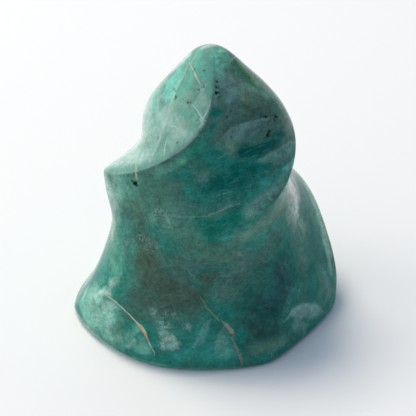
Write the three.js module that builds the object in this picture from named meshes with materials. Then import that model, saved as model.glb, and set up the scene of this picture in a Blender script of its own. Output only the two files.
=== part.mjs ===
// Polished freeform of amazonite: one stone, a fat twisted flame on a wide rounded foot.
// Units are millimetres and +Z is up. The origin is the centre of the box around the stone,
// on the floor: +X is to the right and -Y is the front.
//
// The surface is a body whose radius is given in eight directions at nine heights. Two
// raised edges wind around it from the foot to the tip, and a low swell fills the foot's
// front right. The tip is a rounded cap, and the wide foot has a rounded rim around the flat
// underside that the stone stands on.

import * as THREE from 'three';

const HEIGHT = 75.5;            // floor to tip
const CAP_START = 60;           // height where the tip starts to close
const CAP_CURL = 2.6;           // fullness of the tip
const FOOT_HEIGHT = 2.5;        // height of the rounding at the foot's rim
const FOOT_FLAT = 0.93;         // flat underside, as a share of the foot's radius
const FOOT_CURL = 2.2;          // fullness of that rounding
const EDGE_SOFTNESS = 0.5;      // rounding of the raised edges
const UNROLL_RADIUS = 24;       // radius at which the edges are laid out flat

// Height and position of the body's axis.
const AXIS_X = [[0, 4.5], [30, 1], [55, 1.5], [78, 1.5]];
const AXIS_Y = [[0, -1.5], [30, -2], [55, 0], [78, 0]];

// Height, then the body's radius to the right, right back, back, left back, left,
// left front, front and right front.
const BODY = [
  [0, 27.5, 27.5, 27, 31, 37, 33.8, 27.6, 25.9],
  [8, 27.2, 26.6, 25, 27.5, 31.5, 31.6, 26.5, 25.5],
  [18, 25.2, 25.5, 23, 24, 27.2, 26.2, 23, 24.3],
  [28, 22.5, 23.5, 20, 21.5, 24.3, 23.7, 21, 21.5],
  [38, 19.3, 20.2, 18.5, 19, 23, 20, 18, 18.8],
  [48, 16, 17, 17, 15.8, 17.4, 14.5, 15, 15.5],
  [58, 15, 14.7, 14, 14.5, 15.9, 12, 12, 13.4],
  [68, 9.6, 9.4, 9.3, 10.3, 9.1, 8.5, 8.5, 9.2],
  [78, 6.2, 5.8, 6.2, 7.2, 7.5, 6, 5, 6.2],
];

// Angle from +X in degrees, height, lift of the edge, and how far it spreads above and below.
const EDGE_A = [
  [-8, 2, 2, 16, 16], [0, 8, 3, 16, 16], [14, 16, 4, 16, 16], [32, 24.5, 5, 16, 16],
  [60, 31, 4.5, 16, 16], [110, 35, 3, 16, 16], [150, 38, 0.6, 10, 14], [167, 39.9, 1.5, 9, 14],
  [180, 41.6, 4.4, 8, 14], [190, 43.4, 6.1, 8, 14], [210, 47.8, 5.8, 14, 14], [237, 55, 5, 18, 14],
  [257, 61, 3.2, 14, 14], [269, 67, 1, 12, 12], [276, 74, 0, 8, 8],
];
const EDGE_B = [
  [188, 1.5, 2.5, 14, 12], [196, 7, 3.5, 14, 13], [213, 16, 2.5, 16, 16], [245, 27, 1, 18, 18],
  [275, 35.5, 2, 18, 18], [303, 41.5, 4, 18, 14], [320, 44.3, 5, 18, 14],
  [340, 47, 5, 18, 14], [374, 52, 3.8, 18, 14], [390, 58, 1.5, 16, 14],
  [402, 66, 0.2, 10, 10], [410, 74, 0, 8, 8],
];

// The swell's ridge, in the same terms as the edges.
const SWELL = [[286, -2, 2.3, 16, 16], [300, 3, 2, 16, 16], [322, 12, 0, 10, 10]];

const RINGS = 46;               // rings of vertices from the floor to just under the tip
const COLUMNS = 84;             // vertices in a ring
const EDGE_STEPS = 10;          // straight steps between two points of an edge
const SNAP_STEPS = 8;           // places tried on each of those steps to meet a vertex
const SWEEPS = 80;              // passes that settle a spline
const DIRECTIONS = 8;           // directions in which the body's radius is given
const RING_SPREAD = 0.1;        // how far the rings crowd towards the foot and the tip

const DEGREE = Math.PI / 180;

const wrap = (value, size) => (value % size + size) % size;

// Second derivatives of a cubic spline, by relaxation. Open ends are natural.
function bends(x, y, closed) {
  const n = y.length;
  const m = new Array(n).fill(0);
  for (let sweep = 0; sweep < SWEEPS; sweep++) {
    for (let i = closed ? 0 : 1; i < (closed ? n : n - 1); i++) {
      const p = (i + n - 1) % n;
      const q = (i + 1) % n;
      const left = closed ? 1 : x[i] - x[p];
      const right = closed ? 1 : x[q] - x[i];
      const turn = 6 * ((y[q] - y[i]) / right - (y[i] - y[p]) / left);
      m[i] = (turn - left * m[p] - right * m[q]) / (2 * (left + right));
    }
  }
  return m;
}

function cubic(a, b, step, y0, y1, m0, m1) {
  return a * y0 + b * y1 + ((a ** 3 - a) * m0 + (b ** 3 - b) * m1) * step * step / 6;
}

// A natural spline through the points (x, y), straight on past its ends' values.
function spline(x, y) {
  const m = bends(x, y, false);
  return (at) => {
    let i = 0;
    while (i < x.length - 2 && at > x[i + 1]) i++;
    const step = x[i + 1] - x[i];
    const b = (at - x[i]) / step;
    return cubic(1 - b, b, step, y[i], y[i + 1], m[i], m[i + 1]);
  };
}

// A closed spline through the radii of a ring, which are evenly spaced.
function ringSpline(radii) {
  const m = bends([], radii, true);
  return (angle) => {
    const turn = wrap(angle * DIRECTIONS / 360, DIRECTIONS);
    const i = Math.floor(turn) % DIRECTIONS;
    const j = (i + 1) % DIRECTIONS;
    const b = turn - Math.floor(turn);
    return cubic(1 - b, b, 1, radii[i], radii[j], m[i], m[j]);
  };
}

const column = (table, k) => table.map((row) => row[k]);
const axisX = spline(column(AXIS_X, 0), column(AXIS_X, 1));
const axisY = spline(column(AXIS_Y, 0), column(AXIS_Y, 1));
const bodySplines = BODY[0].slice(1).map((_, k) => spline(column(BODY, 0), column(BODY, k + 1)));

// The edge as many short steps: each is [angle, height, lift, spread above, spread below].
function trace(points) {
  const at = [0];
  for (let i = 1; i < points.length; i++) {
    const across = (points[i][0] - points[i - 1][0]) * DEGREE * UNROLL_RADIUS;
    const up = points[i][1] - points[i - 1][1];
    at.push(at[i - 1] + Math.sqrt(Math.hypot(across, up)));
  }
  const curves = [0, 1, 2, 3, 4].map((k) => spline(at, column(points, k)));
  const count = (points.length - 1) * EDGE_STEPS;
  const steps = [];
  for (let i = 0; i <= count; i++) {
    const t = at[at.length - 1] * i / count;
    steps.push(curves.map((curve) => curve(t)));
  }
  return steps;
}

const edges = [trace(EDGE_A), trace(EDGE_B)];
const ridges = [...edges, trace(SWELL)];

// How far an edge, or the swell, lifts the surface at an angle and height.
function edgeLift(edge, angle, height) {
  const scale = DEGREE * UNROLL_RADIUS;
  let nearest = Infinity;
  let lift = 0;
  let spread = 1;
  for (const turn of [-360, 0, 360]) {
    for (let i = 1; i < edge.length; i++) {
      const from = edge[i - 1];
      const to = edge[i];
      const dx = (to[0] - from[0]) * scale;
      const dz = to[1] - from[1];
      const px = (angle - from[0] - turn) * scale;
      const pz = height - from[1];
      const t = Math.min(1, Math.max(0, (px * dx + pz * dz) / (dx * dx + dz * dz)));
      const gap = Math.hypot(px - t * dx, pz - t * dz);
      if (gap < nearest) {
        const side = dx * pz - dz * px > 0 ? 3 : 4;
        nearest = gap;
        lift = Math.max(0, from[2] + t * (to[2] - from[2]));
        spread = from[side] + t * (to[side] - from[side]);
      }
    }
  }
  const rounded = Math.hypot(nearest, EDGE_SOFTNESS) - EDGE_SOFTNESS;
  return lift * (1 - Math.min(1, rounded / spread)) ** 2;
}

// Share of the full radius that the tip and the rim of the foot leave.
function closing(height) {
  const up = Math.max(0, (height - CAP_START) / (HEIGHT - CAP_START));
  const down = Math.max(0, (FOOT_HEIGHT - height) / FOOT_HEIGHT);
  const cap = Math.sqrt(Math.max(0, 1 - up ** CAP_CURL));
  return cap * (FOOT_FLAT + (1 - FOOT_FLAT) * Math.sqrt(1 - down ** FOOT_CURL));
}

// Ring i's height, with the rings closer together at the foot and the tip, and the reverse.
const CROWDED = Math.cos(Math.PI * RING_SPREAD);

function ringHeight(i) {
  const here = Math.cos(Math.PI * (RING_SPREAD + (1 - 2 * RING_SPREAD) * i / RINGS));
  return HEIGHT * (CROWDED - here) / (2 * CROWDED);
}

function ringAt(height) {
  const turn = Math.acos(CROWDED * (1 - 2 * height / HEIGHT)) / Math.PI;
  return RINGS * (turn - RING_SPREAD) / (1 - 2 * RING_SPREAD);
}

// The grid's vertices along an edge, each moved onto the edge so that it stays crisp.
// The vertices make one chain, and a corner that the chain can cut across is left out.
function snapToEdge(edge, grid) {
  const chain = [];
  const fine = [];
  for (let i = 1; i < edge.length; i++) {
    for (let k = 0; k < SNAP_STEPS; k++) {
      const t = k / SNAP_STEPS;
      const angle = edge[i - 1][0] + t * (edge[i][0] - edge[i - 1][0]);
      const height = edge[i - 1][1] + t * (edge[i][1] - edge[i - 1][1]);
      fine.push({ angle, height, u: angle * COLUMNS / 360, v: ringAt(height) });
    }
  }
  for (const { u, v } of fine) {
    const next = { u: Math.round(u), v: Math.min(RINGS - 1, Math.round(v)) };
    const last = chain[chain.length - 1];
    if (!last || last.u !== next.u || last.v !== next.v) chain.push(next);
    const n = chain.length;
    if (n > 2 && Math.abs(chain[n - 1].u - chain[n - 3].u) === 1
      && Math.abs(chain[n - 1].v - chain[n - 3].v) === 1) chain.splice(n - 2, 1);
  }
  for (const link of chain) {
    let nearest = fine[0];
    for (const point of fine) {
      const here = Math.hypot(point.u - link.u, point.v - link.v);
      if (here < Math.hypot(nearest.u - link.u, nearest.v - link.v)) nearest = point;
    }
    grid[link.v][wrap(link.u, COLUMNS)] = { angle: nearest.angle, height: nearest.height, edge };
  }
}

// The point of the surface at an angle and height.
function surfacePoint({ angle, height }) {
  const radius = ringSpline(bodySplines.map((curve) => curve(height)))(angle);
  const lift = ridges.reduce((sum, ridge) => sum + edgeLift(ridge, angle, height), 0);
  const reach = (radius + lift) * closing(height);
  return new THREE.Vector3(
    axisX(height) + reach * Math.cos(angle * DEGREE),
    axisY(height) + reach * Math.sin(angle * DEGREE),
    height,
  );
}

// Rings joined by triangles, with a fan under the foot and another at the tip. A quad is
// split along an edge of the stone where one crosses it, or else along its shorter diagonal.
function stoneGeometry() {
  const grid = [];
  for (let i = 0; i < RINGS; i++) {
    grid.push([]);
    for (let j = 0; j < COLUMNS; j++) {
      grid[i].push({ angle: j * 360 / COLUMNS, height: ringHeight(i), edge: null });
    }
  }
  for (const edge of edges) snapToEdge(edge, grid);
  const spots = grid.flat();
  const points = spots.map(surfacePoint);
  const onOneEdge = (p, q) => spots[p].edge !== null && spots[p].edge === spots[q].edge;
  const index = [];
  for (let i = 0; i < RINGS - 1; i++) {
    for (let j = 0; j < COLUMNS; j++) {
      const a = i * COLUMNS + j;
      const b = i * COLUMNS + (j + 1) % COLUMNS;
      const c = a + COLUMNS;
      const d = b + COLUMNS;
      const shorter = points[a].distanceTo(points[d]) < points[b].distanceTo(points[c]);
      if (onOneEdge(a, d) || (shorter && !onOneEdge(b, c))) {
        index.push(a, b, d, a, d, c);
      } else {
        index.push(a, b, c, b, d, c);
      }
    }
  }
  const foot = points.push(new THREE.Vector3(axisX(0), axisY(0), 0)) - 1;
  const tip = points.push(new THREE.Vector3(axisX(HEIGHT), axisY(HEIGHT), HEIGHT)) - 1;
  const last = (RINGS - 1) * COLUMNS;
  for (let j = 0; j < COLUMNS; j++) {
    const k = (j + 1) % COLUMNS;
    index.push(k, j, foot, last + j, last + k, tip);
  }
  const geometry = new THREE.BufferGeometry().setFromPoints(points);
  geometry.setIndex(index);
  geometry.computeBoundingBox();
  const middle = geometry.boundingBox.getCenter(new THREE.Vector3());
  geometry.translate(-middle.x, -middle.y, 0);
  geometry.computeVertexNormals();
  return geometry;
}

const stone = new THREE.Mesh(stoneGeometry(), new THREE.MeshStandardMaterial({
  color: 0x3f857a, roughness: 0.16, metalness: 0,
}));
stone.name = 'stone';

const part = new THREE.Group();
part.add(stone);

export default part;
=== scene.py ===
"""Polished amazonite freeform, dressed over its CAD solid. Lengths are in millimetres unless a comment
says otherwise, and to_metres gives Blender's own unit."""
import math

import bpy
import numpy as np
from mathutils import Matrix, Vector, noise
from mathutils.bvhtree import BVHTree


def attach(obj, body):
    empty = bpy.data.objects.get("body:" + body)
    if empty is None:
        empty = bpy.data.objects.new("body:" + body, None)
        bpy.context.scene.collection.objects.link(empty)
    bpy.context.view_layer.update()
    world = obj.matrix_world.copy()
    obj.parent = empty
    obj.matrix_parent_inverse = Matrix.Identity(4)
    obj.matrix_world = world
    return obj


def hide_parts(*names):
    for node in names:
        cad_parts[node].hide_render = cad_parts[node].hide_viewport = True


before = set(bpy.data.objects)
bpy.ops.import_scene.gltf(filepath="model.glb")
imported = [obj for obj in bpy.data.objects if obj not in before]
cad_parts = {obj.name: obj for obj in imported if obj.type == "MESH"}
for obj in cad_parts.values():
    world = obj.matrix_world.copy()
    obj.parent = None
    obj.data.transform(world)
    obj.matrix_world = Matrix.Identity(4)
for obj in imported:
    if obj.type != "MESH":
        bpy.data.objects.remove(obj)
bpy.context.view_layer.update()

# ---- the stone's form

HEIGHT = 75.5  # floor to tip
CAP_START = 60  # height where the tip starts to close
CAP_CURL = 2.6  # fullness of the tip
FOOT_HEIGHT = 2.5  # height of the rounding at the foot's rim
FOOT_FLAT = 0.93  # flat underside, as a share of the foot's radius
FOOT_CURL = 2.2  # fullness of that rounding
EDGE_SOFTNESS = 0.5  # rounding of the raised edges
UNROLL_RADIUS = 24  # radius at which the edges are laid out flat

AXIS_X = [(0, 4.5), (30, 1), (55, 1.5), (78, 1.5)]
AXIS_Y = [(0, -1.5), (30, -2), (55, 0), (78, 0)]

# Height, then the radius to the right, right back, back, left back, left, left front, front
# and right front.
BODY = [
    (0, 27.5, 27.5, 27, 31, 37, 33.8, 27.6, 25.9),
    (8, 27.2, 26.6, 25, 27.5, 31.5, 31.6, 26.5, 25.5),
    (18, 25.2, 25.5, 23, 24, 27.2, 26.2, 23, 24.3),
    (28, 22.5, 23.5, 20, 21.5, 24.3, 23.7, 21, 21.5),
    (38, 19.3, 20.2, 18.5, 19, 23, 20, 18, 18.8),
    (48, 16, 17, 17, 15.8, 17.4, 14.5, 15, 15.5),
    (58, 15, 14.7, 14, 14.5, 15.9, 12, 12, 13.4),
    (68, 9.6, 9.4, 9.3, 10.3, 9.1, 8.5, 8.5, 9.2),
    (78, 6.2, 5.8, 6.2, 7.2, 7.5, 6, 5, 6.2),
]

# Angle from +X in degrees, height, lift of the edge, and how far it spreads above and below.
EDGE_A = [
    (-8, 2, 2, 16, 16), (0, 8, 3, 16, 16), (14, 16, 4, 16, 16), (32, 24.5, 5, 16, 16),
    (60, 31, 4.5, 16, 16), (110, 35, 3, 16, 16), (150, 38, 0.6, 10, 14),
    (167, 39.9, 1.5, 9, 14), (180, 41.6, 4.4, 8, 14), (190, 43.4, 6.1, 8, 14),
    (210, 47.8, 5.8, 14, 14), (237, 55, 5, 18, 14), (257, 61, 3.2, 14, 14),
    (269, 67, 1, 12, 12), (276, 74, 0, 8, 8),
]
EDGE_B = [
    (188, 1.5, 2.5, 14, 12), (196, 7, 3.5, 14, 13), (213, 16, 2.5, 16, 16),
    (245, 27, 1, 18, 18), (275, 35.5, 2, 18, 18), (303, 41.5, 4, 18, 14),
    (320, 44.3, 5, 18, 14), (340, 47, 5, 18, 14), (374, 52, 3.8, 18, 14),
    (390, 58, 1.5, 16, 14), (402, 66, 0.2, 10, 10), (410, 74, 0, 8, 8),
]

# A low swell at the front right of the foot, in the same terms.
SWELL = [(286, -2, 2.3, 16, 16), (300, 3, 2, 16, 16), (322, 12, 0, 10, 10)]

# Small chips at the tip: x and y in pixels of the picture, radius and depth in mm.
CHIPS = [(218.5, 48.5, 1.3, 0.45), (216, 45.5, 0.8, 0.25)]

RINGS = 265  # rings of vertices from the floor to just under the tip
COLUMNS = 360  # vertices in a ring
EDGE_STEPS = 10  # straight steps between two points of an edge
RING_SPREAD = 0.1  # how far the rings crowd towards the foot and the tip
DIRECTIONS = 8  # directions in which the body's radius is given


def natural_bends(x, y):
    """Second derivatives of a natural cubic spline."""
    n = len(x)
    matrix = np.eye(n)
    right = np.zeros(n)
    step = np.diff(x)
    for i in range(1, n - 1):
        matrix[i, i - 1:i + 2] = step[i - 1], 2 * (step[i - 1] + step[i]), step[i]
        right[i] = 6 * ((y[i + 1] - y[i]) / step[i] - (y[i] - y[i - 1]) / step[i - 1])
    return np.linalg.solve(matrix, right)


def cubic(b, step, y0, y1, m0, m1):
    a = 1 - b
    return a * y0 + b * y1 + ((a ** 3 - a) * m0 + (b ** 3 - b) * m1) * step ** 2 / 6


def spline(x, y):
    """A natural spline through the points (x, y)."""
    x, y = np.array(x, float), np.array(y, float)
    m = natural_bends(x, y)

    def curve(at):
        i = np.clip(np.searchsorted(x, at) - 1, 0, len(x) - 2)
        step = x[i + 1] - x[i]
        return cubic((at - x[i]) / step, step, y[i], y[i + 1], m[i], m[i + 1])
    return curve


def ring_radius(radii, angle):
    """A closed spline through the evenly spaced radii in each row, read at the row's angle."""
    matrix = 4 * np.eye(DIRECTIONS) + np.roll(np.eye(DIRECTIONS), 1, 0) + np.roll(np.eye(DIRECTIONS), -1, 0)
    turn = 6 * (np.roll(radii, -1, 1) - 2 * radii + np.roll(radii, 1, 1))
    m = turn @ np.linalg.inv(matrix).T
    place = (angle * DIRECTIONS / 360) % DIRECTIONS
    i = np.floor(place).astype(int) % DIRECTIONS
    j = (i + 1) % DIRECTIONS
    row = np.arange(len(angle))
    return cubic(place - np.floor(place), 1, radii[row, i], radii[row, j], m[row, i], m[row, j])


def trace(points):
    """The edge as many short steps: rows of angle, height, lift, spread above, spread below."""
    points = np.array(points, float)
    across = np.diff(points[:, 0]) * math.radians(UNROLL_RADIUS)
    at = np.concatenate([[0], np.cumsum(np.sqrt(np.hypot(across, np.diff(points[:, 1]))))])
    steps = np.linspace(0, at[-1], (len(points) - 1) * EDGE_STEPS + 1)
    return np.stack([spline(at, points[:, k])(steps) for k in range(5)], 1)


def edge_lift(edge, angle, height):
    """How far the edge lifts the surface at each angle and height, and how far above it each is."""
    scale = math.radians(UNROLL_RADIUS)
    nearest = np.full(angle.shape, np.inf)
    lift = np.zeros(angle.shape)
    spread = np.ones(angle.shape)
    side = np.ones(angle.shape)
    for turn in (-360, 0, 360):
        for start, end in zip(edge, edge[1:]):
            dx, dz = (end[0] - start[0]) * scale, end[1] - start[1]
            px, pz = (angle - start[0] - turn) * scale, height - start[1]
            t = np.clip((px * dx + pz * dz) / (dx * dx + dz * dz), 0, 1)
            gap = np.hypot(px - t * dx, pz - t * dz)
            closer = gap < nearest
            above = dx * pz - dz * px > 0
            reach = np.where(above, start[3] + t * (end[3] - start[3]), start[4] + t * (end[4] - start[4]))
            nearest = np.where(closer, gap, nearest)
            lift = np.where(closer, np.maximum(0, start[2] + t * (end[2] - start[2])), lift)
            spread = np.where(closer, reach, spread)
            side = np.where(closer, np.where(above, 1, -1), side)
    rounded = np.hypot(nearest, EDGE_SOFTNESS) - EDGE_SOFTNESS
    return lift * (1 - np.minimum(1, rounded / spread)) ** 2, nearest * side


def closing(height):
    """Share of the full radius that the tip and the rim of the foot leave."""
    up = np.maximum(0, (height - CAP_START) / (HEIGHT - CAP_START))
    down = np.maximum(0, (FOOT_HEIGHT - height) / FOOT_HEIGHT)
    cap = np.sqrt(np.maximum(0, 1 - up ** CAP_CURL))
    return cap * (FOOT_FLAT + (1 - FOOT_FLAT) * np.sqrt(1 - down ** FOOT_CURL))


def ring_heights():
    """The rings' heights, closer together at the foot and the tip."""
    crowded = math.cos(math.pi * RING_SPREAD)
    turn = RING_SPREAD + (1 - 2 * RING_SPREAD) * np.arange(RINGS) / RINGS
    return HEIGHT * (crowded - np.cos(math.pi * turn)) / (2 * crowded)


def axis_at(height):
    return spline(*zip(*AXIS_X))(height), spline(*zip(*AXIS_Y))(height)


def surface_points(angle, height):
    """Points of the stone's smooth surface, and how far above each of the two edges they are."""
    levels = [row[0] for row in BODY]
    radii = np.stack([spline(levels, [row[k] for row in BODY])(height)
                      for k in range(1, DIRECTIONS + 1)], 1)
    lift_a, over_a = edge_lift(trace(EDGE_A), angle, height)
    lift_b, over_b = edge_lift(trace(EDGE_B), angle, height)
    swell, _ = edge_lift(trace(SWELL), angle, height)
    reach = (ring_radius(radii, angle) + lift_a + lift_b + swell) * closing(height)
    x, y = axis_at(height)
    points = np.stack([x + reach * np.cos(np.radians(angle)),
                       y + reach * np.sin(np.radians(angle)), height], 1)
    return points, over_a, over_b


def stone_grid():
    """The fine grid's points and faces, centred on the floor under its own box, and how far above
    each edge the points are."""
    angle = np.tile(np.arange(COLUMNS) * 360 / COLUMNS, RINGS)
    height = np.repeat(ring_heights(), COLUMNS)
    points, over_a, over_b = surface_points(angle, height)
    foot = [float(v) for v in axis_at(0.0)] + [0]
    tip = [float(v) for v in axis_at(HEIGHT)] + [HEIGHT]
    points = np.vstack([points, foot, tip])
    over_a, over_b = (np.append(over, (-HEIGHT, HEIGHT)) for over in (over_a, over_b))
    middle = (points.min(0) + points.max(0)) / 2
    points -= (middle[0], middle[1], 0)
    faces = []
    for i in range(RINGS - 1):
        for j in range(COLUMNS):
            a, b = i * COLUMNS + j, i * COLUMNS + (j + 1) % COLUMNS
            faces.append((a, b, b + COLUMNS, a + COLUMNS))
    last = (RINGS - 1) * COLUMNS
    for j in range(COLUMNS):
        k = (j + 1) % COLUMNS
        faces.append((k, j, len(points) - 2))
        faces.append((last + j, last + k, len(points) - 1))
    return points, faces, over_a, over_b


# ---- camera

IMAGE_SIZE = 416  # pixels along each side of the picture
CAMERA_TARGET = (0.65, 2.5, 28)
CAMERA_RANGE = 420  # mm from the target
CAMERA_ELEVATION = 38  # degrees
PIXELS_PER_MM = 4  # at the target
SENSOR = 36  # mm


def camera_place():
    e = math.radians(CAMERA_ELEVATION)
    back = np.array([0, -math.cos(e), math.sin(e)])
    return np.array(CAMERA_TARGET) + CAMERA_RANGE * back, back


def make_camera():
    place, back = camera_place()
    data = bpy.data.cameras.new("camera")
    data.sensor_width = SENSOR
    data.lens = SENSOR * PIXELS_PER_MM * CAMERA_RANGE / IMAGE_SIZE
    camera = bpy.data.objects.new("camera", data)
    camera.location = to_metres(place)
    camera.rotation_euler = Vector(-back).to_track_quat("-Z", "Y").to_euler()
    bpy.context.collection.objects.link(camera)
    bpy.context.scene.camera = camera


# ---- places on the surface

MISS_DEPTHS = range(-40, 41, 2)  # mm about the target, where a ray that misses looks around
TINY = 1e-9
FACING_START, FACING_RANGE = -0.35, 0.5  # cosines over which a surface comes to face the same way
CLOUD_SETTINGS = (1, 2, 3)  # fractal noise: increment, lacunarity, octaves


def seen_at(tree, x, y):
    """The point of the surface that the camera sees at a pixel, or the nearest to it, and its normal."""
    place, back = camera_place()
    e = math.radians(CAMERA_ELEVATION)
    up = np.array([0, math.sin(e), math.cos(e)])
    focal = PIXELS_PER_MM * CAMERA_RANGE
    half = IMAGE_SIZE / 2
    way = np.array([(x - half) / focal, 0, 0]) + up * (half - y) / focal - back
    point, normal, _, _ = tree.ray_cast(place, way)
    if point is None:
        tries = [tree.find_nearest(place + way * (CAMERA_RANGE + depth)) for depth in MISS_DEPTHS]
        point, normal, _, _ = min(tries, key=lambda found: found[3])
    return np.array(point), np.array(normal)


def unit(vectors):
    return vectors / np.maximum(np.linalg.norm(vectors, axis=-1, keepdims=True), TINY)


def smooth(share):
    share = np.clip(share, 0, 1)
    return share * share * (3 - 2 * share)


def measure(skin, spots):
    """From each vertex to a line of spots: the distance, the side (1 on the line's left, seen from
    outside), the line's width there, and how far the surface faces the same way."""
    if len(spots) == 1:
        spots = spots * 2
    nearest = np.full(len(skin.points), np.inf)
    side, width, facing = np.ones(nearest.shape), np.zeros(nearest.shape), np.zeros(nearest.shape)
    for (a, a_out, wide), (b, b_out, next_wide) in zip(spots, spots[1:]):
        step = b - a
        out = unit(a_out + b_out)
        t = np.clip((skin.points - a) @ step / max(step @ step, TINY), 0, 1)
        gap = skin.points - a - t[:, None] * step
        distance = np.linalg.norm(gap, axis=1)
        closer = distance < nearest
        nearest = np.where(closer, distance, nearest)
        side = np.where(closer, np.where(gap @ np.cross(out, step) < 0, -1, 1), side)
        width = np.where(closer, wide + t * (next_wide - wide), width)
        same_way = smooth((skin.normals @ out - FACING_START) / FACING_RANGE)
        facing = np.where(closer, same_way, facing)
    return nearest, side, width, facing


def clouds(points, size, shift=0):
    """Soft noise between about -1 and 1, with blobs of about this size in mm."""
    offset = Vector((shift, 0, 0))
    return np.array([noise.fractal(Vector(p) / size + offset, *CLOUD_SETTINGS) for p in points])


def chip(points, faces):
    """Sinks the points of the surface at each small chip."""
    tree = BVHTree.FromPolygons(points.tolist(), faces)
    for x, y, radius, depth in CHIPS:
        centre, normal = seen_at(tree, x, y)
        share = np.clip(1 - (np.linalg.norm(points - centre, axis=1) / radius) ** 2, 0, 1)
        points -= np.outer(depth * share ** 2, normal)


# ---- the stone's own colours

PALE = (0.34, 0.53, 0.45)
ICE = (0.5, 0.66, 0.61)
MINT = (0.22, 0.48, 0.37)
LEAF = (0.14, 0.41, 0.32)
AQUA = (0.17, 0.54, 0.44)
GREY_GREEN = (0.2, 0.38, 0.31)
HAZE = (0.16, 0.3, 0.235)
SEA = (0.12, 0.34, 0.25)
JADE = (0.083, 0.23, 0.167)
FERN = (0.06, 0.2, 0.11)
FERN_LIGHT = (0.16, 0.33, 0.17)
MOSS = (0.13, 0.23, 0.165)
OLIVE = (0.066, 0.113, 0.084)
TEAL = (0.006, 0.185, 0.145)
GREEN = (0.004, 0.165, 0.118)
DEEP = (0.004, 0.115, 0.095)
EMERALD = (0.035, 0.28, 0.19)
BLUE = (0.028, 0.085, 0.094)
INK = (0.006, 0.055, 0.056)
SLATE = (0.088, 0.175, 0.143)
STEEL = (0.14, 0.265, 0.25)
MIST = (0.16, 0.33, 0.28)
FOG = (0.2, 0.39, 0.35)
PINE = (0.035, 0.11, 0.088)
TURQUOISE = (0.035, 0.265, 0.22)
# Painted reflection and painted highlight: pale tones for the window's reflection in the groove right of
# the neck.
PAINTED_REFLECTION = (0.6, 0.65, 0.56)
PAINTED_HIGHLIGHT = (0.9, 0.9, 0.8)
CREAM = (0.62, 0.62, 0.43)
RUST = (0.55, 0.27, 0.09)
PINK = (0.36, 0.33, 0.26)
BROWN = (0.11, 0.08, 0.055)
OCHRE = (0.22, 0.25, 0.13)

# Patches: tone, strength, softness of the border in mm, and a line of (x, y, half width in mm), with
# x and y in pixels of the picture.
FACE_PATCHES = [
    # Painted light, over the stone's own pale tone: the pale and icy bands along the left rim stand for
    # that rim's reflection and glow.
    (PALE, 0.95, 5, [(160, 84, 2), (148, 105, 3.5), (146, 128, 4), (134, 148, 4.5), (112, 163, 3)]),
    (ICE, 0.95, 5, [(160, 80, 1), (150, 95, 2), (144, 115, 2), (138, 132, 2), (122, 153, 3),
                    (106, 166, 2)]),
    (AQUA, 0.55, 2, [(155, 94, 0.8), (155, 108, 0.8)]),
    (ICE, 0.9, 1.6, [(190, 54, 0.6), (184, 59, 1), (175, 68, 1.2)]),
    (AQUA, 0.5, 1.6, [(188, 58, 1), (180, 66, 1.4)]),
    (AQUA, 0.75, 1, [(177, 76, 2), (172, 84, 2.8), (169, 93, 2.2)]),
    (LEAF, 0.9, 1.2, [(190, 70, 1), (187, 84, 1.6), (180, 95, 1.2)]),
    (LEAF, 0.9, 1.2, [(199, 54, 1.4), (200, 66, 1.6), (206, 76, 1.2)]),
    (LEAF, 0.8, 1.6, [(212, 58, 1), (210, 68, 1)]),
    (GREY_GREEN, 0.6, 2, [(172, 106, 2), (186, 98, 2)]),
    (HAZE, 0.5, 2, [(196, 96, 1.2), (188, 100, 1)]),
    (PALE, 0.5, 2, [(160, 116, 1.2), (162, 130, 1.4), (152, 140, 1.4)]),
    (PALE, 0.45, 1.4, [(205, 98, 0.7), (204, 104, 0.8)]),
    (LEAF, 0.6, 1.4, [(201, 112, 0.9), (196, 118, 0.8)]),
    (SEA, 0.4, 3, [(182, 118, 2), (190, 128, 1.4), (193, 138, 1)]),
    (PALE, 0.5, 2, [(172, 142, 1.4), (182, 132, 0.8)]),
    (ICE, 0.3, 3, [(166, 114, 2), (176, 126, 2.4), (188, 136, 1.4)]),
    (PINK, 0.25, 2, [(178, 130, 1), (186, 124, 0.8)]),
    (GREY_GREEN, 0.3, 2, [(156, 146, 1.2), (158, 156, 1.2)]),
    (ICE, 0.6, 3, [(118, 164, 1.4), (134, 158, 2), (148, 154, 1.4)]),
    (ICE, 0.6, 2, [(150, 92, 1), (146, 110, 1.2), (143, 126, 1)]),
    (GREY_GREEN, 0.5, 2, [(209, 108, 1), (203, 126, 1)]),
    (LEAF, 0.5, 1.4, [(211, 92, 0.8), (210, 78, 1)]),
    # Painted highlight along the top of the tip.
    (ICE, 0.8, 1.2, [(204, 47, 0.9), (213, 45, 0.7)]),
]
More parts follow.
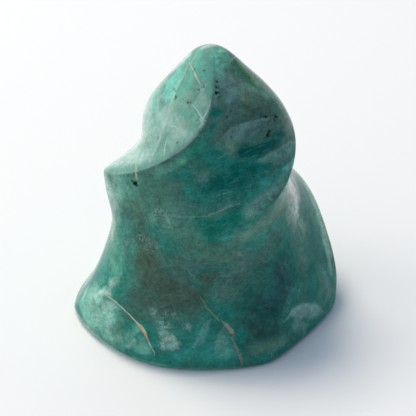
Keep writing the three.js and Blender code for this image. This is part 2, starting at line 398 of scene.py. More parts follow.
CROWN_PATCHES = [
    (HAZE, 0.9, 3, [(222, 76, 1.6), (232, 84, 2.4), (244, 92, 2.4)]),
    (SEA, 1, 3, [(216, 50, 2), (226, 56, 2), (219, 66, 1.8), (216, 84, 1)]),
    (LEAF, 0.8, 2, [(214, 48, 1.6), (217, 60, 1), (216, 72, 0.6)]),
    (MIST, 0.6, 1.4, [(217, 76, 0.6), (216, 92, 0.7), (215, 104, 0.6)]),
    (STEEL, 0.8, 1.6, [(226, 82, 1), (227, 100, 1.3)]),
    (JADE, 0.6, 1.6, [(222, 92, 0.6), (222, 108, 0.8)]),
    (MOSS, 0.8, 2, [(246, 96, 1.6), (258, 98, 1.4)]),
    (FERN, 0.9, 1.8, [(234, 64, 1), (242, 71, 1.6), (249, 80, 1.2), (257, 88, 0.8)]),
    (FERN_LIGHT, 0.6, 2.6, [(238, 60, 0.8), (246, 70, 1), (254, 80, 1), (262, 90, 0.8), (270, 99, 0.5)]),
    (HAZE, 0.8, 1, [(240, 83, 0.6), (252, 88, 0.7), (266, 96, 0.6)]),
    (BROWN, 0.6, 0.8, [(226, 71, 0.4)]),
    (OCHRE, 0.5, 1.2, [(241, 98, 0.4), (247, 101, 0.5)]),
    (OCHRE, 0.4, 1, [(266, 103, 0.3), (250, 108, 0.3)]),
    (OLIVE, 0.3, 3, [(248, 108, 1.2), (262, 104, 1.8), (272, 108, 1)]),
    (SLATE, 0.7, 2, [(222, 112, 1.4), (236, 112, 1.6)]),
    (SEA, 0.7, 1.6, [(258, 84, 0.6), (270, 94, 0.6), (280, 106, 0.6), (288, 122, 0.8), (292, 136, 0.6)]),
    (OLIVE, 0.6, 2.4, [(258, 116, 0.8), (276, 118, 1.2), (282, 126, 1)]),
    (JADE, 0.85, 3, [(274, 108, 0.8), (284, 120, 1), (289, 132, 1)]),
    (FERN_LIGHT, 0.5, 2.4, [(234, 53, 0.4), (250, 69, 0.5), (262, 83, 0.5), (272, 95, 0.5),
                            (283, 110, 0.3)]),
    (TEAL, 0.9, 1, [(213, 113, 0.9), (220, 113, 0.8)]),
    (TEAL, 0.7, 1.4, [(214, 124, 1), (210, 132, 1)]),
    (HAZE, 0.6, 3, [(236, 136, 1.4), (228, 142, 1.8), (232, 150, 1.4)]),
    (DEEP, 1, 2.6, [(244, 152, 1.8), (256, 150, 2), (268, 144, 1.8), (282, 134, 1.4)]),
    (EMERALD, 0.8, 2, [(208, 134, 1.2), (197, 146, 1.6), (184, 156, 1)]),
    (SEA, 0.8, 2, [(184, 161, 0.8), (172, 166, 1), (158, 171, 1.2)]),
]
WAIST_PATCHES = [
    (JADE, 0.8, 9, [(150, 182, 5), (146, 205, 5), (170, 215, 3)]),
    (SEA, 0.9, 3, [(122, 180, 3), (124, 195, 2.4), (138, 178, 1.6)]),
    # Painted light: the pale strip along the waist's left rim, where it catches the window.
    (PALE, 0.95, 5, [(104, 172, 2), (108, 186, 2.4), (112, 200, 2.4), (115, 216, 1.6), (112, 236, 0.8)]),
    (MINT, 0.6, 2.4, [(116, 174, 2), (120, 186, 1.6), (120, 200, 0.8)]),
    (MOSS, 0.5, 3, [(127, 200, 1.4), (136, 206, 2)]),
    (JADE, 0.6, 3, [(116, 215, 1), (114, 240, 1.4), (112, 256, 1.2)]),
    (SLATE, 0.5, 3, [(124, 212, 1.4), (128, 232, 2), (124, 250, 1.6)]),
    (OLIVE, 0.7, 5, [(138, 214, 1.4), (142, 232, 2.4), (148, 252, 3)]),
    (GREEN, 0.5, 5, [(172, 176, 1.6), (188, 178, 2), (184, 194, 1.6)]),
    (GREEN, 0.6, 3, [(188, 165, 1.6), (202, 167, 1.6)]),
    (HAZE, 0.25, 3, [(204, 180, 1.6), (176, 186, 1.4)]),
    (TEAL, 0.8, 6, [(178, 168, 2), (200, 196, 3), (222, 186, 5), (240, 186, 5), (250, 198, 4)]),
    (TEAL, 0.8, 4, [(196, 150, 2), (214, 156, 3), (236, 164, 3), (262, 168, 3)]),
    (DEEP, 0.85, 4, [(208, 188, 1.6), (224, 182, 2.6), (244, 174, 2.6), (256, 168, 1.6)]),
    (GREEN, 0.9, 4, [(204, 232, 2), (222, 222, 2), (240, 214, 1.6)]),
    (DEEP, 0.4, 2, [(212, 236, 1), (206, 226, 1)]),
    (TURQUOISE, 0.8, 3, [(226, 238, 1.4), (236, 232, 1)]),
    (MIST, 0.6, 2.4, [(250, 212, 1.4), (262, 200, 1.2), (274, 190, 1)]),
    (SEA, 0.7, 2, [(282, 180, 1), (290, 166, 1)]),
    (TURQUOISE, 0.9, 2, [(262, 188, 1), (274, 180, 1.2), (284, 168, 1.2)]),
    (TEAL, 0.7, 3, [(256, 158, 1), (268, 164, 1.4)]),
    (JADE, 0.8, 3, [(150, 196, 1), (172, 204, 1.4), (160, 190, 2)]),
]
UNDER_PATCHES = [
    (HAZE, 0.7, 4, [(282, 206, 1.4), (272, 216, 2), (256, 228, 2), (240, 238, 1.4)]),
    (MINT, 1, 3, [(309, 190, 2.4), (316, 205, 2.2), (322, 225, 2), (328, 250, 1.8)]),
    (TEAL, 0.8, 2.4, [(306, 206, 0.6), (312, 226, 1), (315, 244, 1.4)]),
    (MINT, 0.8, 1.6, [(317, 206, 0.8), (325, 240, 0.9), (331, 272, 0.9)]),
    (SLATE, 0.6, 4, [(276, 240, 3), (264, 252, 2)]),
    (HAZE, 0.4, 5, [(298, 240, 2.4), (303, 258, 2.4)]),
    # Painted reflection and painted highlight: the pale streak where the window reflects in the groove
    # right of the neck, fanning out below.
    (PAINTED_REFLECTION, 0.55, 7, [(293, 176, 1), (290, 200, 1.6), (292, 222, 1.2)]),
    (PAINTED_REFLECTION, 0.4, 5, [(298, 220, 0.8), (304, 230, 0.6)]),
    # Painted shade: the dark line in the crease beside that streak.
    (DEEP, 0.4, 1.4, [(304.5, 188, 0.3), (304, 204, 0.4), (306, 218, 0.3)]),
    (PAINTED_HIGHLIGHT, 1, 5, [(296, 166, 1), (295, 190, 2), (295.5, 212, 1)]),
]
FOOT_PATCHES = [
    (JADE, 0.9, 6, [(232, 252, 3), (212, 252, 3), (190, 240, 4), (172, 232, 2)]),
    (PINE, 0.3, 5, [(178, 240, 3), (196, 240, 3.4), (212, 240, 2)]),
    (GREEN, 0.75, 3, [(196, 218, 1.2), (206, 228, 1.8), (212, 237, 1.4), (222, 226, 1.6), (234, 216, 1.2)]),
    (OLIVE, 0.95, 9, [(148, 262, 5), (156, 286, 7), (180, 296, 6), (140, 300, 4)]),
    (SLATE, 0.7, 4, [(184, 268, 3), (196, 262, 2.4)]),
    (MOSS, 0.35, 2.4, [(208, 258, 1.4), (222, 260, 1.4), (236, 256, 1)]),
    (OLIVE, 0.7, 3, [(206, 276, 2), (216, 272, 1.4)]),
    (SLATE, 0.7, 6, [(236, 276, 3), (250, 262, 3), (224, 290, 3)]),
    (PINE, 0.6, 6, [(230, 284, 3), (250, 300, 4), (262, 268, 3)]),
    (SLATE, 0.5, 6, [(226, 286, 3), (240, 268, 3)]),
    (BLUE, 0.85, 6, [(278, 268, 2.4), (286, 282, 3.4), (276, 300, 3.4), (262, 306, 2.4)]),
    (TEAL, 0.5, 3, [(292, 272, 1.6), (296, 296, 1.6)]),
    (INK, 0.6, 5, [(256, 308, 2), (266, 320, 2.6), (276, 308, 2)]),
    (PINE, 1, 5, [(246, 326, 2.4), (262, 332, 3.4), (276, 330, 2)]),
    (INK, 0.3, 4, [(256, 330, 2), (270, 334, 2)]),
    (TEAL, 0.8, 4, [(314, 262, 2), (312, 296, 1.6)]),
    (JADE, 0.8, 3, [(320, 268, 1.4), (322, 290, 1.4)]),
    (MIST, 0.5, 2, [(324, 276, 1.2), (330, 288, 1), (326, 300, 1)]),
    (FOG, 0.8, 2, [(298, 312, 1.8), (310, 310, 2), (319, 312, 1.4)]),
    (FOG, 0.5, 2.4, [(296, 324, 1.6), (304, 328, 1.4)]),
    (MOSS, 0.6, 3, [(254, 350, 1.4), (270, 346, 1.4), (286, 340, 1.2)]),
    (MINT, 1, 5, [(92, 300, 4), (88, 318, 3), (106, 318, 4), (112, 334, 3)]),
    (AQUA, 0.6, 3, [(86, 292, 1.6), (82, 306, 2), (88, 318, 1.2)]),
    (TURQUOISE, 0.5, 3, [(104, 270, 1.6), (98, 282, 1.6)]),
    (SEA, 0.6, 2.4, [(112, 262, 1.4), (118, 272, 1.6), (122, 250, 1)]),
    (PALE, 0.6, 2, [(104, 304, 1.4), (112, 306, 1)]),
    (JADE, 0.8, 3, [(122, 320, 1.4), (116, 332, 2), (128, 334, 1.4)]),
    (PALE, 0.8, 1.6, [(96, 295, 0.7), (104, 291.5, 0.9), (109, 294, 0.6)]),
    (CREAM, 0.3, 1, [(104, 291, 0.4), (109, 294, 0.4)]),
    (PALE, 0.5, 1.6, [(162, 330, 0.8), (168, 338, 1.6), (174, 345, 1)]),
    (PALE, 0.35, 1.4, [(163, 346, 1), (172, 347, 0.8)]),
    (PALE, 0.5, 2, [(112, 284, 1), (118, 280, 0.6)]),
    (LEAF, 0.8, 1.6, [(138, 348, 1.4), (146, 350, 1.4), (142, 340, 1)]),
    (PALE, 0.6, 1.2, [(128, 347, 0.6), (134, 340, 0.6)]),
    # Painted light: pale lines along the foot's lower left and front rims, lightening the rim where it
    # turns down towards the floor and is shaded.
    (ICE, 0.7, 2, [(75, 302, 0.8), (80, 322, 0.8), (96, 339, 0.8), (112, 349, 0.7), (130, 357, 0.5)]),
    (LEAF, 0.7, 1, [(134, 358, 0.5), (160, 365, 0.5), (200, 369, 0.5), (240, 369, 0.5)]),
    (TURQUOISE, 0.9, 2.6, [(176, 358, 1), (194, 352, 2), (214, 354, 2.4), (234, 356, 1.6)]),
    (TURQUOISE, 0.7, 2.4, [(200, 334, 1.8), (208, 340, 2)]),
    (LEAF, 0.5, 2, [(222, 340, 1.4), (226, 352, 1.6)]),
    (MIST, 0.5, 1.6, [(154, 312, 1), (158, 322, 0.8)]),
    (MIST, 0.6, 1.2, [(188, 328, 0.6)]),
    (TEAL, 0.7, 2, [(242, 332, 1.4), (238, 346, 0.6)]),
]

# Fracture planes inside the stone, seen as a sharp border that fades out on the line's left: tone,
# strength, and a line of (x, y, how far it reaches in mm).
FACE_VEILS = [
    (PALE, 0.6, [(206, 85, 0), (200, 93, 1.6), (194, 104, 1.6), (203, 119, 0)]),
    (PALE, 0.5, [(176, 172, 0), (176, 90, 2), (188, 66, 1), (186, 60, 0)]),
    (AQUA, 0.5, [(168, 110, 0), (173, 97, 2), (182, 80, 2.4), (188, 66, 0)]),
    (PALE, 0.5, [(158, 112, 0), (160, 98, 1.4), (170, 98, 1), (172, 98, 0)]),
    (ICE, 0.5, [(148, 166, 0), (158, 146, 1.4), (164, 128, 1.2), (166, 118, 0)]),
]
CROWN_VEILS = [
    (STEEL, 1, [(272, 117, 0), (263, 118.3, 2), (256, 120, 3.2), (248, 122, 3.6), (240, 124.5, 4),
                (231, 128, 4), (226, 132, 3), (221, 140, 0)]),
    (MIST, 0.7, [(266, 118, 0), (256, 120, 0.8), (248, 122, 1), (240, 124.5, 1), (231, 128, 1),
                 (223, 137, 0)]),
    (MIST, 1, [(296, 139.5, 3), (289, 141.5, 4), (281, 146.5, 4.6), (275, 150.5, 4), (268, 154, 3.4),
               (262, 158, 2), (254, 162, 0)]),
    (LEAF, 0.45, [(296, 139.5, 4), (289, 141.5, 4.6), (281, 146.5, 4.4), (275, 150.5, 3), (268, 154, 2),
                  (262, 158, 1), (254, 162, 0)]),
    (AQUA, 0.9, [(296, 157, 1), (291, 160, 2), (285, 166, 1.6), (280, 172, 0)]),
    (STEEL, 0.4, [(284, 138, 0), (276, 136, 1.2), (262, 139, 1.4), (246, 147, 0)]),
    (HAZE, 0.7, [(278, 100, 0), (262, 91, 2), (248, 84, 2), (236, 78, 0)]),
    (TURQUOISE, 0.7, [(290, 156, 0), (282, 163, 2), (270, 174, 2), (258, 184, 0)]),
    (MIST, 0.6, [(292, 158, 0), (287, 166, 1), (280, 178, 1), (270, 188, 0)]),
]
FOOT_VEILS = [
    (FOG, 0.9, [(326, 314, 0), (316, 305, 2), (303, 303, 3.4), (292, 309, 3), (284, 322, 0)]),
    (PALE, 0.35, [(318, 306, 0), (304, 304, 1), (294, 309, 0.8), (288, 316, 0)]),
    (MIST, 0.7, [(212, 318, 0), (203, 324, 2.6), (196, 340, 2.6), (192, 350, 0)]),
    (MIST, 0.7, [(228, 322, 0), (220, 330, 2.2), (215, 346, 2.2), (216, 356, 0)]),
    (PALE, 0.5, [(98, 298, 0), (97, 314, 2), (92, 330, 0)]),
    (PALE, 0.5, [(112, 306, 0), (108, 322, 1.6), (104, 338, 0)]),
    (LEAF, 0.8, [(125, 350, 0), (131, 340, 3), (139, 331, 3), (142, 330, 0)]),
]

# Thin veins and pale lines: tone, strength, and a line of (x, y, half width in mm).
LINES = [
    (CREAM, 0.9, [(190, 63, 0.08), (193, 70, 0.16), (196, 76, 0.2), (198, 80, 0.12), (200, 84, 0.05)]),
    (PALE, 0.7, [(190, 64, 0.1), (194, 58, 0.12), (200, 48, 0.05)]),
    (CREAM, 0.45, [(192, 54, 0.08), (188, 66, 0.1), (182, 80, 0.12), (176, 90, 0.14), (170, 105, 0.16),
                   (166, 122, 0.05)]),
    (ICE, 0.6, [(197, 92, 0.05), (203, 89, 0.16), (207, 84, 0.05)]),
    (ICE, 0.7, [(193, 105, 0.1), (198, 112, 0.14), (203, 119, 0.16), (208, 110, 0.12), (211, 99, 0.05)]),
    (ICE, 0.8, [(171, 126, 0.1), (175, 126, 0.16), (178, 129, 0.1)]),
    (ICE, 0.9, [(163, 130, 0.05), (165, 125, 0.25), (167, 118, 0.05)]),
    (ICE, 0.7, [(164, 154, 0.1), (165, 146, 0.18), (167, 138, 0.05)]),
    (ICE, 0.5, [(144, 140, 0.1), (148, 152, 0.12), (150, 160, 0.05)]),
    (ICE, 0.5, [(158, 98, 0.05), (158, 112, 0.12), (162, 126, 0.05)]),
    (ICE, 0.5, [(200, 119, 0.2), (203, 123, 0.3), (200, 127, 0.25)]),
    (CREAM, 0.6, [(230, 62, 0.08), (233, 58, 0.14), (237, 56, 0.14), (241, 60, 0.08)]),
    (CREAM, 0.75, [(136, 162, 0.1), (136, 170, 0.22), (136.5, 178, 0.15)]),
    (MIST, 0.8, [(150, 214, 0.1), (170, 216, 0.15), (190, 217, 0.15), (212, 216, 0.1)]),
    (MIST, 0.8, [(205, 217, 0.1), (216, 213, 0.2), (228, 207, 0.2), (241, 203, 0.1)]),
    (MIST, 0.7, [(247, 206, 0.1), (257, 201, 0.2), (266, 194, 0.2), (276, 187, 0.1)]),
    (MIST, 0.6, [(212, 197, 0.08), (222, 194, 0.14), (232, 192, 0.08)]),
    (CREAM, 0.8, [(104, 293, 0.1), (112, 299, 0.2), (120, 306, 0.16), (130, 315, 0.16), (137, 323, 0.2)]),
    (CREAM, 0.95, [(137, 323, 0.2), (141, 327, 0.5), (144, 332, 0.45), (148, 340, 0.2), (154, 352, 0.12)]),
    (PINK, 0.5, [(201, 298, 0.1), (207, 308, 0.15), (213, 314, 0.2), (218, 319, 0.3)]),
    (PINK, 0.9, [(223, 322, 0.2), (227, 326, 0.5), (232, 332, 0.5), (234, 337, 0.2)]),
    (PINK, 0.6, [(232, 338, 0.2), (236, 347, 0.3), (240, 355, 0.4), (242, 363, 0.35)]),
]

# Fields of short pale hairs: tone, how many, how steeply they rise to the right, in degrees at the left
# and at the right, and the picture's area that they fill, as (left, top, right, bottom).
HAIR_FIELDS = [
    (MIST, 160, (4, 38), (166, 168, 290, 236)),
    (MIST, 26, (18, 30), (222, 118, 290, 166)),
    (MIST, 30, (-20, 24), (170, 236, 262, 286)),
    (HAZE, 22, (-8, 20), (250, 236, 320, 300)),
    (MIST, 16, (-60, -40), (118, 196, 140, 262)),
    (PALE, 24, (60, 76), (142, 84, 204, 160)),
    (MIST, 14, (10, 30), (160, 336, 236, 362)),
]

# Rust in the veins, painted over the lines' own tone, in the terms of the patches.
RUST_PATCHES = [
    (RUST, 1, 0.8, [(140, 327, 0.4), (144, 334, 0.5), (147, 340, 0.3)]),
    (RUST, 0.45, 1.2, [(152, 350, 0.5)]),
    (RUST, 0.4, 1.2, [(233, 331, 0.4), (241, 359, 0.5)]),
    (RUST, 0.25, 1, [(128, 313, 0.6)]),
]

# Frosted flecks, thickest at 1: strength, softness in mm and a line as in the patches.
FROST_PATCHES = [
    (1, 2, [(162, 330, 1), (168, 338, 2), (175, 345, 1.2)]),
    (1, 2, [(163, 345, 1.2), (172, 347, 0.8)]),
    (0.8, 3, [(160, 320, 0.8), (166, 328, 1)]),
    (0.6, 3, [(156, 312, 1), (172, 312, 0.8), (175, 318, 0.6)]),
    (0.9, 2, [(187, 327, 0.8), (190, 331, 0.5)]),
    (0.55, 4, [(156, 218, 1), (162, 214, 1.4), (168, 222, 1)]),
    (0.35, 4, [(140, 238, 0.8), (149, 246, 1.4), (158, 250, 1)]),
    (0.7, 3, [(112, 285, 1), (108, 290, 1)]),
    (0.5, 4, [(104, 272, 1), (90, 304, 1.6)]),
    (0.4, 4, [(118, 178, 1.4)]),
    (0.5, 3, [(252, 212, 1), (262, 202, 1), (268, 196, 0.8)]),
    (0.3, 4, [(228, 262, 1.4), (238, 256, 1.4)]),
    (0.4, 6, [(296, 298, 2), (288, 306, 1.4)]),
    (0.3, 4, [(284, 268, 1.2)]),
    (0.8, 1.4, [(271, 353, 0.5)]),
    (0.3, 3, [(290, 200, 1), (296, 226, 1)]),
    (0.3, 3, [(200, 124, 1)]),
]

# Black specks: x, y, radius in mm, and how dark.
SPECKS = [
    (217, 81.7, 0.22, 0.8), (216.3, 87.4, 0.26, 0.8), (218.6, 88, 0.14, 0.6), (216.3, 93, 0.34, 1),
    (218.2, 92.4, 0.2, 0.9), (220.6, 96.7, 0.16, 0.5), (265.6, 116.7, 0.3, 0.9), (263.6, 117, 0.16, 0.7),
    (275.6, 116.7, 0.36, 1), (277.4, 116.9, 0.2, 0.9), (274.4, 120, 0.18, 0.6), (287, 119, 0.26, 0.9),
    (269.4, 131, 0.26, 1), (268.6, 133, 0.26, 1), (267.6, 135, 0.3, 1), (249, 78, 0.26, 0.7),
    (194.4, 69, 0.2, 0.6), (193, 71, 0.14, 0.5), (204, 70.6, 0.24, 0.6), (165, 86, 0.2, 0.5),
    (174, 89, 0.2, 0.6), (175.6, 91, 0.14, 0.5), (176, 97, 0.28, 0.7), (175, 99, 0.18, 0.6),
    (188, 102.6, 0.28, 0.6), (190.4, 103, 0.2, 0.5), (199, 90, 0.22, 0.6), (204, 87, 0.2, 0.6),
    (231, 111, 0.2, 0.4), (227, 117, 0.22, 0.6), (204, 135, 0.16, 0.6), (200, 132, 0.14, 0.5),
    (197, 120, 0.16, 0.5), (177, 143, 0.2, 0.5), (158, 138, 0.2, 0.4), (231, 137, 0.2, 0.5),
    (135, 183.4, 0.55, 1), (132.4, 181, 0.3, 0.7), (137, 181.4, 0.2, 0.6), (136.6, 185, 0.3, 0.8),
    (95.6, 318, 0.2, 0.6), (140, 233, 0.2, 0.6), (148, 262, 0.2, 0.4),
]


# ---- painting

SEED = 11
RAGGED_NOISE = [(0.7, 4, 0), (0.5, 1.4, 50)]  # share, blob size in mm and shift of each noise
RAGGED_BORDER = 0.3  # how far that noise moves a patch's border, as a share of its softness
RAGGED_REACH = 0.25  # how far it changes a fracture plane's reach, as a share of the reach
VEIL_EDGE = 0.35  # softness of a fracture plane's sharp border in mm
LEAST = 0.001  # mm, so that nothing is divided by zero
NEAR_LINE = 1.2  # mm from a thin line within which it is drawn
LINE_FACING = 0.3  # a thin line isn't drawn where its share of facing is less than this
FAR = 9.0  # distance stored where no thin line is near

HAIR_LENGTH = (2, 6)  # pixels of the picture between two of a hair's three points
HAIR_WIDTH = (0.03, 0.12)  # half width in mm at the middle point
HAIR_TAPER = (0.4, 1, 0.4)
HAIR_STRENGTH = (0.15, 0.5)
HAIR_SCATTER = 6  # degrees by which the hairs of a field differ in slope
HAIR_BEND = 14  # degrees by which a hair bends at a point

FACE_LIP = 0.25  # mm by which the left face's tone laps over its edge
FACE_BORDER = 0.7  # softness of that border in mm
FACE_BLUR_START = 58  # height from which the border gets softer
FACE_BLUR = 0.35  # how fast it gets softer above that
FACE_LOW = 38  # height where the left face starts
FACE_RIGHT = 8  # x where it ends, in the middle of the stone
FACE_TURN = 0.2  # how far that end moves to the right, towards the back
FACE_FADE = 4  # mm over which both ends fade
CREST_WIDTH, CREST_CORE = 0.3, 1.2  # mm over which the crest's painted highlight fades, and its fullness
CREST_LOW, CREST_LOW_FADE = 43, 3  # height where the crest's painted highlight starts, and its fading
CREST_HIGH, CREST_HIGH_FADE = 66, 8  # the same for its upper end
CREST_HIGHLIGHT_STRENGTH = 0.35
CROWN_LOW, CROWN_FADE = 34, 10  # height where the crown's tones start, and their fading
EDGE_B_BLUR = 3  # mm over which the crown's tones change into the foot's at edge B

GROUND_CLOUDS = (22, 7)  # size in mm and shift of the broad clouds in the ground
GROUND_MIDDLE = 0.3
GROUND_CONTRAST = 0.9
GROUND_SEA, GROUND_SLATE, GROUND_CROWN = 0.5, 0.4, 0.85
GROUND_FACE = 0.8  # share of the left face's own tone between the clouds
FACE_CLOUDS, FACE_CLOUDS_MIDDLE = 0.35, 0.2

# Markings on the sides that the picture doesn't show: how many, the length of a step and the half
# width in mm, and their strength.
HIDDEN_PATCHES = (90, (2, 7), (1, 3.4), (0.4, 0.85))
HIDDEN_VEILS = (16, (3, 7), (2, 4), 0.5)
HIDDEN_LINES = (7, (1.2, 2.6), (0.1, 0.3), (0.4, 0.8))
HIDDEN_FROST = (14, (1, 3), (0.8, 2), (0.4, 0.9))
HIDDEN_SPECKS = (12, (0.15, 0.35), 0.8)  # how many, radius in mm, and how dark
HIDDEN_TONES = (PALE, GREY_GREEN, MINT, SEA, JADE, TEAL, TEAL, GREEN, DEEP, SLATE, HAZE, MOSS, TURQUOISE)
HIDDEN_VEIL_TONES = (MIST, PALE)
HIDDEN_LINE_TONES = (CREAM, PALE, PINK)
HIDDEN_PATCH_SOFTNESS = (2, 6)
HIDDEN_FROST_SOFTNESS = 2
HIDDEN_START, HIDDEN_RATE = 0.4, 3  # how the hidden sides' markings fade in where the view ends
HIDDEN_STEPS = 3  # spots in a hidden patch
HIDDEN_LINE_STEPS = 9  # spots in a hidden vein
WANDER_WAY = (1, 1, 0.4)  # hidden markings run level more than they climb
WANDER_TURN = 0.3  # how far they turn at each spot
WANDER_TAPER = (0.25, 0.8)  # the part of a half wave that their widths follow


class Skin:
    """The stone's surface with what painting needs: its points in mm, normals, and search tree."""

    def __init__(self, points, faces, normals, over_a, over_b):
        self.points = points
        self.normals = normals
        self.over_a = over_a
        self.over_b = over_b
        self.tree = BVHTree.FromPolygons(points.tolist(), faces)
        self.ragged = sum(share * clouds(points, size, shift) for share, size, shift in RAGGED_NOISE)
        self.tint = np.zeros((len(points), 3))
        self.line_tone = np.zeros((len(points), 3))
        self.line_gap = np.full(len(points), FAR)
        self.line_width = np.full(len(points), -1.0)
        self.line_strength = np.zeros(len(points))
        self.frost = np.zeros(len(points))


def locate(skin, line):
    """A line of (x, y, width) in the picture as points on the surface: place, normal, width."""
    return [(*seen_at(skin.tree, x, y), width) for x, y, width in line]


def blend(colours, tone, share):
    colours += (np.array(tone) - colours) * share[:, None]


def cover(skin, spots, softness):
    """How far a patch around the spots covers each vertex, with a ragged border."""
    distance, _, width, facing = measure(skin, spots)
    border = (width - distance + RAGGED_BORDER * softness * skin.ragged) / softness + 0.5
    return smooth(border) * facing


def veil_cover(skin, spots):
    """How far a fracture plane covers each vertex: sharp at the line, fading out to its left."""
    distance, side, reach, facing = measure(skin, spots)
    ahead = distance * side
    left = np.clip(1 - ahead / np.maximum(reach * (1 + RAGGED_REACH * skin.ragged), LEAST), 0, 1)
    return smooth(ahead / VEIL_EDGE + 0.5) * left * facing


def draw_line(skin, tone, strength, spots):
    distance, side, width, facing = measure(skin, spots)
    mine = (distance < np.abs(skin.line_gap)) & (distance < NEAR_LINE) & (facing > LINE_FACING)
    skin.line_gap[mine] = (distance * side)[mine]
    skin.line_width[mine] = width[mine]
    skin.line_strength[mine] = strength
    skin.line_tone[mine] = tone


def draw_hairs(skin):
    """The fields of short pale hairs, each bent a little."""
    rng = np.random.default_rng(SEED)
    for tone, count, slopes, (left, top, right, bottom) in HAIR_FIELDS:
        for _ in range(count):
            x, y = rng.uniform(left, right), rng.uniform(top, bottom)
            length, width = rng.uniform(*HAIR_LENGTH), rng.uniform(*HAIR_WIDTH)
            slope = slopes[0] + (slopes[1] - slopes[0]) * (x - left) / (right - left)
            slope += rng.normal() * HAIR_SCATTER
            line = []
            for share in HAIR_TAPER:
                line.append((x, y, width * share))
                x += length * math.cos(math.radians(slope))
                y -= length * math.sin(math.radians(slope))
                slope += rng.normal() * HAIR_BEND
            draw_line(skin, tone, rng.uniform(*HAIR_STRENGTH), locate(skin, line))


def paint_patches(skin, patches, inside):
    for tone, strength, softness, line in patches:
        blend(skin.tint, tone, cover(skin, locate(skin, line), softness) * strength * inside)


def paint_veils(skin, veils, inside):
    for tone, strength, line in veils:
        blend(skin.tint, tone, veil_cover(skin, locate(skin, line)) * strength * inside)


def face_share(points, over_a):
    """Where the left face and its continuation around the back are: above edge A, in the upper half.
    Its border blurs towards the tip, and on the right the face gives way to the crown."""
    x, y, z = points.T
    border = FACE_BORDER + FACE_BLUR * np.maximum(0, z - FACE_BLUR_START)
    above = smooth(0.5 + (over_a + FACE_LIP) / border)
    left = smooth((FACE_RIGHT - x + FACE_TURN * y) / FACE_FADE)
    return above * smooth((z - FACE_LOW) / FACE_FADE) * left


def crest_highlight_share(skin):
    """The painted highlight of the rounded crest: a thin pale line along edge A, around the left face."""
    _, y, z = skin.points.T
    low = smooth((z - CREST_LOW) / CREST_LOW_FADE)
    high = smooth((CREST_HIGH - z) / CREST_HIGH_FADE)
    front = smooth(-y / FACE_FADE)
    return smooth(CREST_CORE - np.abs(skin.over_a + FACE_LIP / 2) / CREST_WIDTH) * low * high * front


def paint_ground(skin, face, crown):
    """The broad colours under all markings."""
    broad = clouds(skin.points, *GROUND_CLOUDS)
    face_tone = GROUND_FACE - FACE_CLOUDS * smooth(FACE_CLOUDS_MIDDLE + broad)
    skin.tint[:] = TEAL
    blend(skin.tint, SEA, smooth(GROUND_MIDDLE + GROUND_CONTRAST * broad) * GROUND_SEA)
    blend(skin.tint, SLATE, smooth(GROUND_MIDDLE - GROUND_CONTRAST * broad) * GROUND_SLATE)
    blend(skin.tint, GREY_GREEN, face * face_tone)
    blend(skin.tint, SLATE, crown * GROUND_CROWN)


def wander(skin, start, rng, length, width, steps):
    """A line of spots that wanders over the surface from a vertex, and thins towards its ends."""
    point, normal = skin.points[start], skin.normals[start]
    way = rng.normal(size=3) * WANDER_WAY
    spots = []
    for share in np.sin(np.linspace(*WANDER_TAPER, steps) * math.pi):
        spots.append((point, normal, width * share))
        way = unit(way - normal * (way @ normal) + WANDER_TURN * rng.normal(size=3))
        place, out, _, _ = skin.tree.find_nearest(point + way * length)
        point, normal = np.array(place), np.array(out)
    return spots


def paint_hidden(skin):
    """Markings of the same kinds on the parts that the picture doesn't show; gives their specks."""
    rng = np.random.default_rng(SEED)
    _, back = camera_place()
    hidden = smooth(HIDDEN_START - HIDDEN_RATE * (skin.normals @ back))
    unseen = np.flatnonzero(hidden > 0.5)

    def one_of(tones):
        return tones[rng.integers(len(tones))]

    def spots(length, width, steps=HIDDEN_STEPS):
        return wander(skin, rng.choice(unseen), rng, rng.uniform(*length), rng.uniform(*width), steps)

    count, length, width, strength = HIDDEN_PATCHES
    for _ in range(count):
        tone = one_of(HIDDEN_TONES)
        share = cover(skin, spots(length, width), rng.uniform(*HIDDEN_PATCH_SOFTNESS))
        blend(skin.tint, tone, share * hidden * rng.uniform(*strength))
    count, length, width, strength = HIDDEN_VEILS
    for _ in range(count):
        line = spots(length, width)
        blend(skin.tint, one_of(HIDDEN_VEIL_TONES), veil_cover(skin, line) * hidden * strength)
    count, length, width, strength = HIDDEN_LINES
    for _ in range(count):
        line = spots(length, width, HIDDEN_LINE_STEPS)
        draw_line(skin, one_of(HIDDEN_LINE_TONES), rng.uniform(*strength), line)
    count, length, width, strength = HIDDEN_FROST
    for _ in range(count):
        share = cover(skin, spots(length, width), HIDDEN_FROST_SOFTNESS) * hidden
        skin.frost = np.maximum(skin.frost, share * rng.uniform(*strength))
    count, radius, dark = HIDDEN_SPECKS
    return [(skin.points[rng.choice(unseen)], rng.uniform(*radius), dark) for _ in range(count)]


def paint_stone(skin):
    """Paints the surface and gives the black specks: place, radius in mm, and how dark."""
    face = face_share(skin.points, skin.over_a)
    above = smooth(0.5 + skin.over_b / EDGE_B_BLUR)
    crown = (1 - face) * above * smooth((skin.points[:, 2] - CROWN_LOW) / CROWN_FADE)
    paint_ground(skin, face, crown)
    specks = paint_hidden(skin)
    paint_patches(skin, WAIST_PATCHES + CROWN_PATCHES + FOOT_PATCHES, 1 - face)
    paint_patches(skin, UNDER_PATCHES, (1 - face) * (1 - above))
    paint_patches(skin, FACE_PATCHES, face)
    paint_veils(skin, FACE_VEILS, face)
    paint_veils(skin, CROWN_VEILS + FOOT_VEILS, 1 - face)
    # Painted highlight along the crest of edge A.
    blend(skin.tint, ICE, CREST_HIGHLIGHT_STRENGTH * crest_highlight_share(skin))
    draw_hairs(skin)
    for tone, strength, line in LINES:
        draw_line(skin, tone, strength, locate(skin, line))
    for tone, strength, softness, line in RUST_PATCHES:
        blend(skin.line_tone, tone, cover(skin, locate(skin, line), softness) * strength)
    for strength, softness, line in FROST_PATCHES:
        skin.frost = np.maximum(skin.frost, strength * cover(skin, locate(skin, line), softness))
    return specks + [(seen_at(skin.tree, x, y)[0], radius, dark) for x, y, radius, dark in SPECKS]


# ---- mesh

def to_metres(points):
    return points / 1000


